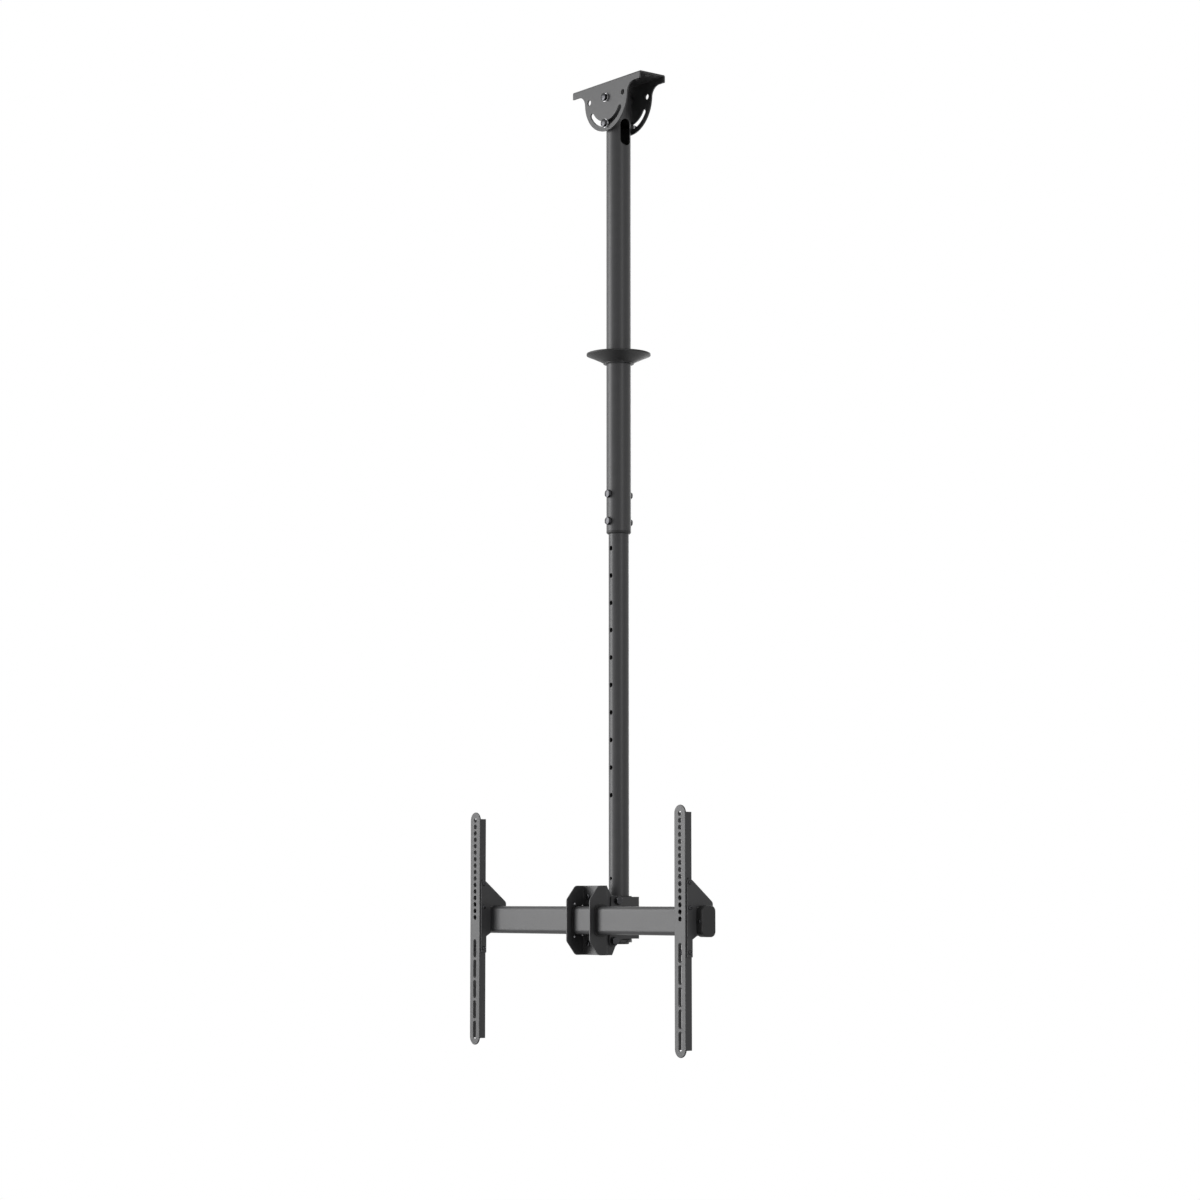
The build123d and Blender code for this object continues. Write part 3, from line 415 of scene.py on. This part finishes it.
# Sizes of the plain solids: across the flats, shank radius, head and nut heights
M8_FLATS, M8_SHANK, M8_HEAD, M8_NUT, M8_THIN_NUT = 0.013, 0.004, 0.0053, 0.0065, 0.005
M6_FLATS, M6_SHANK, M6_HEAD, M6_NUT = 0.010, 0.003, 0.004, 0.005
WASHER_RADIUS, WASHER_BORE = 0.008, 0.00405

# Fine shapes that the solids leave out. TURNED_FACE, WASHER_FACE and END_CORE are radii
# as shares of half the flats or of the shank.
RING_STEPS = 48
STEPS_PER_PITCH = 8
M8_PITCH = 0.00125
THREAD_DEPTH = 0.00065
THREAD_SHOWN = 0.013
THREAD_FLANK = 2.4         # above 2 leaves a flat crest
CORNER_SLOPE = math.tan(math.radians(28.0))
TURNED_FACE = 0.96
WASHER_FACE = 0.93
WASHER_FACE_HEIGHT = 0.0003
END_CORE = 0.3
TIP_CHAMFER = 0.0008
NUT_PLAY = 0.00005
NUT_MOUTH_WIDTH = 0.0004
NUT_MOUTH_DEPTH = 0.0005
WASHER_EDGE = 0.0002
SHARP_FACET = math.radians(32.0)

# Domed heads: flat middle as a share of the radius, then rim and recess floor as shares
# of the height
DOME_STEPS = 7
DOME_FLAT = 0.62
DOME_RIM = 0.22
RECESS_FLOOR = 0.45
RECESS_CORE = 0.0003

# Domed screws: head radius, head height, and the size of the key or the cross
WEB_BOLT_HEAD, WEB_BOLT_RISE, WEB_BOLT_KEY = 0.00525, 0.0033, 0.004
HOOK_BOLT_HEAD, HOOK_BOLT_RISE, HOOK_BOLT_KEY = 0.0038, 0.0022, 0.0025
CAP_SCREW_HEAD, CAP_SCREW_RISE, CAP_SCREW_SHANK = 0.00325, 0.0016, 0.00175
CAP_SCREW_CROSS = (0.0019, 0.0006)
LINER_SCREW_HEAD, LINER_SCREW_RISE, LINER_SCREW_SHANK = 0.0022, 0.0013, 0.0012
LINER_SCREW_CROSS = (0.0013, 0.0004)
LINER_SCREW_LENGTH = 0.002
LINER_SCREW_Y = -0.0758
LINER_SCREW_FROM_BEAM = 0.0292
HEAD_SHEET = 0.0025

# Which way each node's heads point: None is away from the node's middle in X
HEX_BOLTS = (
    ("pivot_bolt", "ceiling", FRONT),
    ("lock_bolt", "pole", FRONT),
    ("lock_screws_front", "pole", FRONT),
    ("lock_screws_rear", "pole", BACK),
    ("swivel_screws", "swivel_head", BACK),
    ("tilt_pivot_bolt", "swivel_head", RIGHT),
    ("tilt_lock_bolts", "swivel_head", None),
)
HEX_NUTS = (
    ("pivot_nut", "ceiling", BACK, M8_FLATS, M8_NUT, M8_SHANK),
    ("lock_nut", "pole", BACK, M8_FLATS, M8_NUT, M8_SHANK),
    ("tilt_pivot_nut", "swivel_head", LEFT, M8_FLATS, M8_NUT, M8_SHANK),
    ("tilt_lock_nuts", "swivel_head", None, M8_FLATS, M8_THIN_NUT, M8_SHANK),
    ("web_nuts", "beam_head", BACK, M6_FLATS, M6_NUT, M6_SHANK),
    ("hook_nuts_left", "left_rail", None, M6_FLATS, M6_NUT, M6_SHANK),
    ("hook_nuts_right", "right_rail", None, M6_FLATS, M6_NUT, M6_SHANK),
)
HOOK_BOLTS = (("hook_bolts_left", "left_rail"), ("hook_bolts_right", "right_rail"))


def solid_boxes(node_name):
    """Lowest and highest corner of each separate solid in a node."""
    mesh = sewn_mesh(node_name)
    reached = set()
    boxes = []
    for start in mesh.verts:
        if start in reached:
            continue
        reached.add(start)
        queue = [start]
        low = start.co.copy()
        high = start.co.copy()
        while queue:
            vertex = queue.pop()
            for axis in range(3):
                low[axis] = min(low[axis], vertex.co[axis])
                high[axis] = max(high[axis], vertex.co[axis])
            for edge in vertex.link_edges:
                other = edge.other_vert(vertex)
                if other not in reached:
                    reached.add(other)
                    queue.append(other)
        boxes.append((low, high))
    mesh.free()
    return boxes


def standing(spot, outward):
    """Frame of a fastener whose head stands on this spot: Z points out of the head."""
    side = UP.cross(outward)
    return Matrix((
        (side.x, UP.x, outward.x, spot.x),
        (side.y, UP.y, outward.y, spot.y),
        (side.z, UP.z, outward.z, spot.z),
        (0.0, 0.0, 0.0, 1.0),
    ))


def seat(box, outward, head_height):
    """Frame of the fastener that fills this box."""
    low, high = box
    spot = (low + high) / 2
    axis = 0 if abs(outward.x) > abs(outward.y) else 1
    face = high[axis] if outward[axis] > 0 else low[axis]
    spot[axis] = face - outward[axis] * head_height
    return standing(spot, outward)


def outward_of(box, node_name, way):
    """The way a fastener's head points, from the tables' rule."""
    if way is not None:
        return way
    low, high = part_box(node_name)
    middle = (low[0] + high[0]) / 2
    return RIGHT if (box[0].x + box[1].x) / 2 > middle else LEFT


def turned(mesh, place, rings, closed=False):
    """Skins a row of rings, whose radius and height are numbers or functions of the angle."""
    rows = []
    for radius, height in rings:
        row = []
        for step in range(RING_STEPS):
            angle = math.tau * step / RING_STEPS
            reach = radius(angle) if callable(radius) else radius
            rise = height(angle) if callable(height) else height
            spot = Vector((reach * math.cos(angle), reach * math.sin(angle), rise))
            row.append(mesh.verts.new(place @ spot))
        rows.append(row)
    pairs = list(zip(rows, rows[1:]))
    if closed:
        pairs.append((rows[-1], rows[0]))
    for lower, upper in pairs:
        for step in range(RING_STEPS):
            after = (step + 1) % RING_STEPS
            mesh.faces.new((lower[step], lower[after], upper[after], upper[step]))
    if not closed:
        mesh.faces.new(rows[0])
        mesh.faces.new(rows[-1])


def hex_reach(flats):
    """Distance from the middle of a hexagon to its outline at an angle, flats at 0 degrees."""
    def reach(angle):
        sector = (angle + math.pi / 6) % (math.pi / 3) - math.pi / 6
        return flats / 2 / math.cos(sector)
    return reach


def cross_reach(arm, waist):
    """Outline of a cross recess."""
    def reach(angle):
        return waist + (arm - waist) * abs(math.cos(2 * angle)) ** 3
    return reach


def hex_crown(flats, height, sign):
    """Height of a hexagon's edge once its corners are turned off."""
    outline = hex_reach(flats)
    def crown(angle):
        return height - sign * (outline(angle) - flats / 2 * TURNED_FACE) * CORNER_SLOPE
    return crown


def thread_rings(radius, start, end, pitch):
    """Rings of a right-hand thread along -Z that fades out at both ends."""
    count = max(2, round((start - end) / pitch * STEPS_PER_PITCH))
    rings = []
    for index in range(count + 1):
        height = start + (end - start) * index / count
        fade = min(1.0, index / STEPS_PER_PITCH, (count - index) / STEPS_PER_PITCH)
        def reach(angle, height=height, fade=fade):
            phase = (height / pitch - angle / math.tau) % 1.0
            wave = min(1.0, THREAD_FLANK * abs(phase - 0.5))
            return radius - THREAD_DEPTH * fade * (1.0 - wave)
        rings.append((reach, height))
    return rings


def hex_bolt(mesh, place, length):
    """M8 hex bolt with a washer face, turned corners and a cut thread on its tail."""
    half_flats = M8_FLATS / 2
    tail = -length + TIP_CHAMFER
    rings = [
        (half_flats * END_CORE, M8_HEAD),
        (half_flats * TURNED_FACE, M8_HEAD),
        (hex_reach(M8_FLATS), hex_crown(M8_FLATS, M8_HEAD, 1)),
        (hex_reach(M8_FLATS), WASHER_FACE_HEIGHT),
        (half_flats * WASHER_FACE, WASHER_FACE_HEIGHT),
        (half_flats * WASHER_FACE, 0.0),
        (M8_SHANK, 0.0),
    ]
    rings += thread_rings(M8_SHANK, tail + min(THREAD_SHOWN, length / 2), tail, M8_PITCH)
    rings += [(M8_SHANK - TIP_CHAMFER, -length), (M8_SHANK * END_CORE, -length)]
    turned(mesh, place, rings)


def hex_nut(mesh, place, flats, height, bore):
    """Hex nut with turned corners on both faces; it stands on the frame's origin."""
    turned(mesh, place, [
        (bore, NUT_MOUTH_DEPTH),
        (bore + NUT_MOUTH_WIDTH, 0.0),
        (flats / 2 * TURNED_FACE, 0.0),
        (hex_reach(flats), hex_crown(flats, 0.0, -1)),
        (hex_reach(flats), hex_crown(flats, height, 1)),
        (flats / 2 * TURNED_FACE, height),
        (bore + NUT_MOUTH_WIDTH, height),
        (bore, height - NUT_MOUTH_DEPTH),
    ], closed=True)


def round_washer(mesh, place, thickness):
    """M8 washer with its outer edges broken."""
    turned(mesh, place, [
        (WASHER_BORE, 0.0),
        (WASHER_RADIUS - WASHER_EDGE, 0.0),
        (WASHER_RADIUS, WASHER_EDGE),
        (WASHER_RADIUS, thickness - WASHER_EDGE),
        (WASHER_RADIUS - WASHER_EDGE, thickness),
        (WASHER_BORE, thickness),
    ], closed=True)


def domed_screw(mesh, place, head_radius, head, shank, length, recess):
    """Domed screw; its recess is the outline of the hole for the key or driver."""
    floor = head * RECESS_FLOOR
    rings = [(RECESS_CORE, floor), (recess, floor), (recess, head)]
    flat = head_radius * DOME_FLAT
    for step in range(DOME_STEPS + 1):
        turn = math.pi / 2 * step / DOME_STEPS
        rings.append((
            flat + (head_radius - flat) * math.sin(turn),
            head * (DOME_RIM + (1.0 - DOME_RIM) * math.cos(turn)),
        ))
    rings += [
        (head_radius, 0.0),
        (shank, 0.0),
        (shank, -length + TIP_CHAMFER),
        (shank - TIP_CHAMFER, -length),
    ]
    turned(mesh, place, rings)


def fastener_object(name, mesh, body, node_name, finish):
    """Makes an object of finished fasteners on a body, in place of a node's plain solids if it
    has one.
    """
    bmesh.ops.recalc_face_normals(mesh, faces=mesh.faces)
    data = bpy.data.meshes.new(name)
    mesh.to_mesh(data)
    mesh.free()
    for face in data.polygons:
        face.use_smooth = True
    data.set_sharp_from_angle(angle=SHARP_FACET)
    data.materials.append(finish)
    piece = bpy.data.objects.new(name, data)
    bpy.context.collection.objects.link(piece)
    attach(piece, body)
    if node_name is not None:
        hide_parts(node_name)


def threaded_bolts(finish):
    """Hex bolts and screws with threads."""
    for node_name, body, way in HEX_BOLTS:
        mesh = bmesh.new()
        for box in solid_boxes(node_name):
            outward = outward_of(box, node_name, way)
            length = abs((box[1] - box[0]).dot(outward)) - M8_HEAD
            hex_bolt(mesh, seat(box, outward, M8_HEAD), length)
        fastener_object("threaded_" + node_name, mesh, body, node_name, finish)


def bored_nuts(finish):
    """Hex nuts with a bore that leaves the thread free."""
    for node_name, body, way, flats, height, shank in HEX_NUTS:
        mesh = bmesh.new()
        for box in solid_boxes(node_name):
            place = seat(box, outward_of(box, node_name, way), height)
            hex_nut(mesh, place, flats, height, shank + NUT_PLAY)
        fastener_object("turned_" + node_name, mesh, body, node_name, finish)


def round_washers(ceiling_finish, head_finish):
    """Washers at the ceiling and in the head."""
    washers = (
        ("pivot_washers", "ceiling", BACK, ceiling_finish),
        ("lock_washers", "pole", BACK, ceiling_finish),
        ("tilt_washers", "swivel_head", RIGHT, head_finish),
    )
    for node_name, body, outward, finish in washers:
        mesh = bmesh.new()
        for box in solid_boxes(node_name):
            thickness = (box[1] - box[0]).dot(outward)
            round_washer(mesh, seat(box, outward, thickness), thickness)
        fastener_object("broken_edge_" + node_name, mesh, body, node_name, finish)


def socket_web_bolts(finish):
    """Button bolts with a key socket, which join the two brackets of the head."""
    mesh = bmesh.new()
    for box in solid_boxes("web_bolts"):
        length = box[1].y - box[0].y - WEB_BOLT_RISE
        place = seat(box, FRONT, WEB_BOLT_RISE)
        recess = hex_reach(WEB_BOLT_KEY)
        domed_screw(mesh, place, WEB_BOLT_HEAD, WEB_BOLT_RISE, M6_SHANK, length, recess)
    fastener_object("socket_web_bolts", mesh, "beam_head", "web_bolts", finish)


def domed_hook_bolts(finish):
    """Low domed bolts of the hook brackets, lower than the heads of the solids."""
    for node_name, body in HOOK_BOLTS:
        mesh = bmesh.new()
        for box in solid_boxes(node_name):
            place = seat(box, outward_of(box, node_name, None), M6_HEAD)
            length = box[1].x - box[0].x - M6_HEAD
            recess = hex_reach(HOOK_BOLT_KEY)
            domed_screw(mesh, place, HOOK_BOLT_HEAD, HOOK_BOLT_RISE, M6_SHANK, length, recess)
        fastener_object("domed_" + node_name, mesh, body, node_name, finish)


def window_liner_screws(finish):
    """Two small screws above and below the beam on the inner face of each flange."""
    beam_height = (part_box("beam")[0][2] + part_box("beam")[1][2]) / 2
    inner_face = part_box("beam_bracket")[1][0] - HEAD_SHEET
    recess = cross_reach(*LINER_SCREW_CROSS)
    mesh = bmesh.new()
    for side in (-1, 1):
        for rise in (-LINER_SCREW_FROM_BEAM, LINER_SCREW_FROM_BEAM):
            spot = Vector((side * inner_face, LINER_SCREW_Y, beam_height + rise))
            place = standing(spot, Vector((-side, 0.0, 0.0)))
            domed_screw(
                mesh, place, LINER_SCREW_HEAD, LINER_SCREW_RISE,
                LINER_SCREW_SHANK, LINER_SCREW_LENGTH, recess,
            )
    fastener_object("window_liner_screws", mesh, "beam_head", None, finish)


def cross_cap_screws(finish):
    """Screws with a cross recess in the beam's end caps."""
    mesh = bmesh.new()
    for box in solid_boxes("cap_screws"):
        length = box[1].y - box[0].y - CAP_SCREW_RISE
        place = seat(box, FRONT, CAP_SCREW_RISE)
        recess = cross_reach(*CAP_SCREW_CROSS)
        domed_screw(
            mesh, place, CAP_SCREW_HEAD, CAP_SCREW_RISE, CAP_SCREW_SHANK, length, recess
        )
    fastener_object("cross_cap_screws", mesh, "beam_head", "cap_screws", finish)


def rays_to_the_eye(tree):
    """Light Path node, and a node that is 1 for rays from the camera or off a glossy face."""
    ray = tree.nodes.new("ShaderNodeLightPath")
    seen = tree.nodes.new("ShaderNodeMath")
    seen.operation = "MAXIMUM"
    tree.links.new(ray.outputs["Is Camera Ray"], seen.inputs[0])
    tree.links.new(ray.outputs["Is Glossy Ray"], seen.inputs[1])
    return ray, seen


def white_backdrop():
    """World that looks white and lights the mount dimly."""
    world = bpy.data.worlds.new("studio_world")
    bpy.context.scene.world = world
    tree = cleared_tree(world)
    put = tree.nodes.new
    link = tree.links.new
    output = put("ShaderNodeOutputWorld")
    dim = put("ShaderNodeBackground")
    dim.inputs["Color"].default_value = WHITE
    dim.inputs["Strength"].default_value = WORLD_LIGHT
    white = put("ShaderNodeBackground")
    white.inputs["Color"].default_value = WHITE
    choose = put("ShaderNodeMixShader")
    ray, seen = rays_to_the_eye(tree)
    seen_through = put("ShaderNodeMath")
    seen_through.operation = "MAXIMUM"
    link(seen.outputs[0], seen_through.inputs[0])
    link(ray.outputs["Is Transmission Ray"], seen_through.inputs[1])
    link(seen_through.outputs[0], choose.inputs[0])
    link(dim.outputs[0], choose.inputs[1])
    link(white.outputs[0], choose.inputs[2])
    link(choose.outputs[0], output.inputs["Surface"])


def pale_floor():
    """Matt floor that takes the shadow below the mount and turns white further out."""
    material = bpy.data.materials.new("pale_floor")
    tree = cleared_tree(material)
    put = tree.nodes.new
    link = tree.links.new
    output = put("ShaderNodeOutputMaterial")
    matt = put("ShaderNodeBsdfDiffuse")
    matt.inputs["Color"].default_value = FLOOR_COLOUR
    glow = put("ShaderNodeEmission")
    choose = put("ShaderNodeMixShader")
    place = put("ShaderNodeTexCoord")
    level = put("ShaderNodeVectorMath")
    level.operation = "MULTIPLY"
    level.inputs[1].default_value = (1.0, 1.0, 0.0)
    distance = put("ShaderNodeVectorMath")
    distance.operation = "LENGTH"
    whiten = put("ShaderNodeMapRange")
    whiten.interpolation_type = "SMOOTHSTEP"
    whiten.inputs["From Min"].default_value = SHADOW_ZONE
    whiten.inputs["From Max"].default_value = WHITE_FROM
    whiten.inputs["To Min"].default_value = GLOW_IN_SHADOW_ZONE
    seen = rays_to_the_eye(tree)[1]
    share = put("ShaderNodeMath")
    share.operation = "MULTIPLY"
    link(place.outputs["Object"], level.inputs[0])
    link(level.outputs["Vector"], distance.inputs[0])
    link(distance.outputs["Value"], whiten.inputs["Value"])
    link(seen.outputs[0], share.inputs[0])
    link(whiten.outputs["Result"], share.inputs[1])
    link(share.outputs[0], choose.inputs[0])
    link(matt.outputs[0], choose.inputs[1])
    link(glow.outputs[0], choose.inputs[2])
    link(choose.outputs[0], output.inputs["Surface"])

    half = FLOOR_SIZE / 2
    corners = [(-half, -half), (half, -half), (half, half), (-half, half)]
    mesh = bpy.data.meshes.new("studio_floor")
    mesh.from_pydata([(x, y, FLOOR_HEIGHT) for x, y in corners], [], [(0, 1, 2, 3)])
    mesh.materials.append(material)
    floor = bpy.data.objects.new("studio_floor", mesh)
    bpy.context.collection.objects.link(floor)


def soft_lamp(name, place, aim, width, height, power):
    """A large rectangular softbox."""
    light = bpy.data.lights.new(name, "AREA")
    light.shape = "RECTANGLE"
    light.size = width
    light.size_y = height
    light.energy = power
    lamp = bpy.data.objects.new(name, light)
    lamp.location = place
    lamp.rotation_euler = (Vector(aim) - Vector(place)).to_track_quat("-Z", "Y").to_euler()
    bpy.context.collection.objects.link(lamp)


def place_camera():
    """Puts the long-lens camera where the photograph was taken from."""
    across = Vector((math.cos(VIEW_AZIMUTH), math.sin(VIEW_AZIMUTH), 0.0))
    towards_camera = Vector((
        math.sin(VIEW_AZIMUTH) * math.cos(VIEW_PITCH),
        -math.cos(VIEW_AZIMUTH) * math.cos(VIEW_PITCH),
        -math.sin(VIEW_PITCH),
    ))
    middle = Vector((0.0, 0.0, FRAME_MIDDLE_HEIGHT)) - across * FRAME_MIDDLE_LEFT_OF_POLE
    lens = bpy.data.cameras.new("long_lens")
    lens.lens = LENS_MM
    lens.sensor_width = SENSOR_MM
    lens.clip_end = CLIP_END
    camera = bpy.data.objects.new("long_lens", lens)
    camera.location = middle + towards_camera * CAMERA_DISTANCE
    camera.rotation_euler = (-towards_camera).to_track_quat("-Z", "Y").to_euler()
    bpy.context.collection.objects.link(camera)
    bpy.context.scene.camera = camera


finishes = dress_nodes()
steel = finishes["powder_coated_steel"]
black_zinc = finishes["zinc_fasteners"]
clear_zinc = bright_zinc()

break_edges(folded_ceiling_bracket(steel))
threaded_bolts(black_zinc)
bored_nuts(black_zinc)
round_washers(clear_zinc, black_zinc)
socket_web_bolts(black_zinc)
domed_hook_bolts(black_zinc)
window_liner_screws(clear_zinc)
cross_cap_screws(black_zinc)
for folded_sheet in FOLDED_SHEETS:
    break_edges(nodes[folded_sheet])

white_backdrop()
pale_floor()
for softbox in SOFTBOXES:
    soft_lamp(*softbox)
place_camera()
bpy.context.scene.view_settings.view_transform = "Standard"
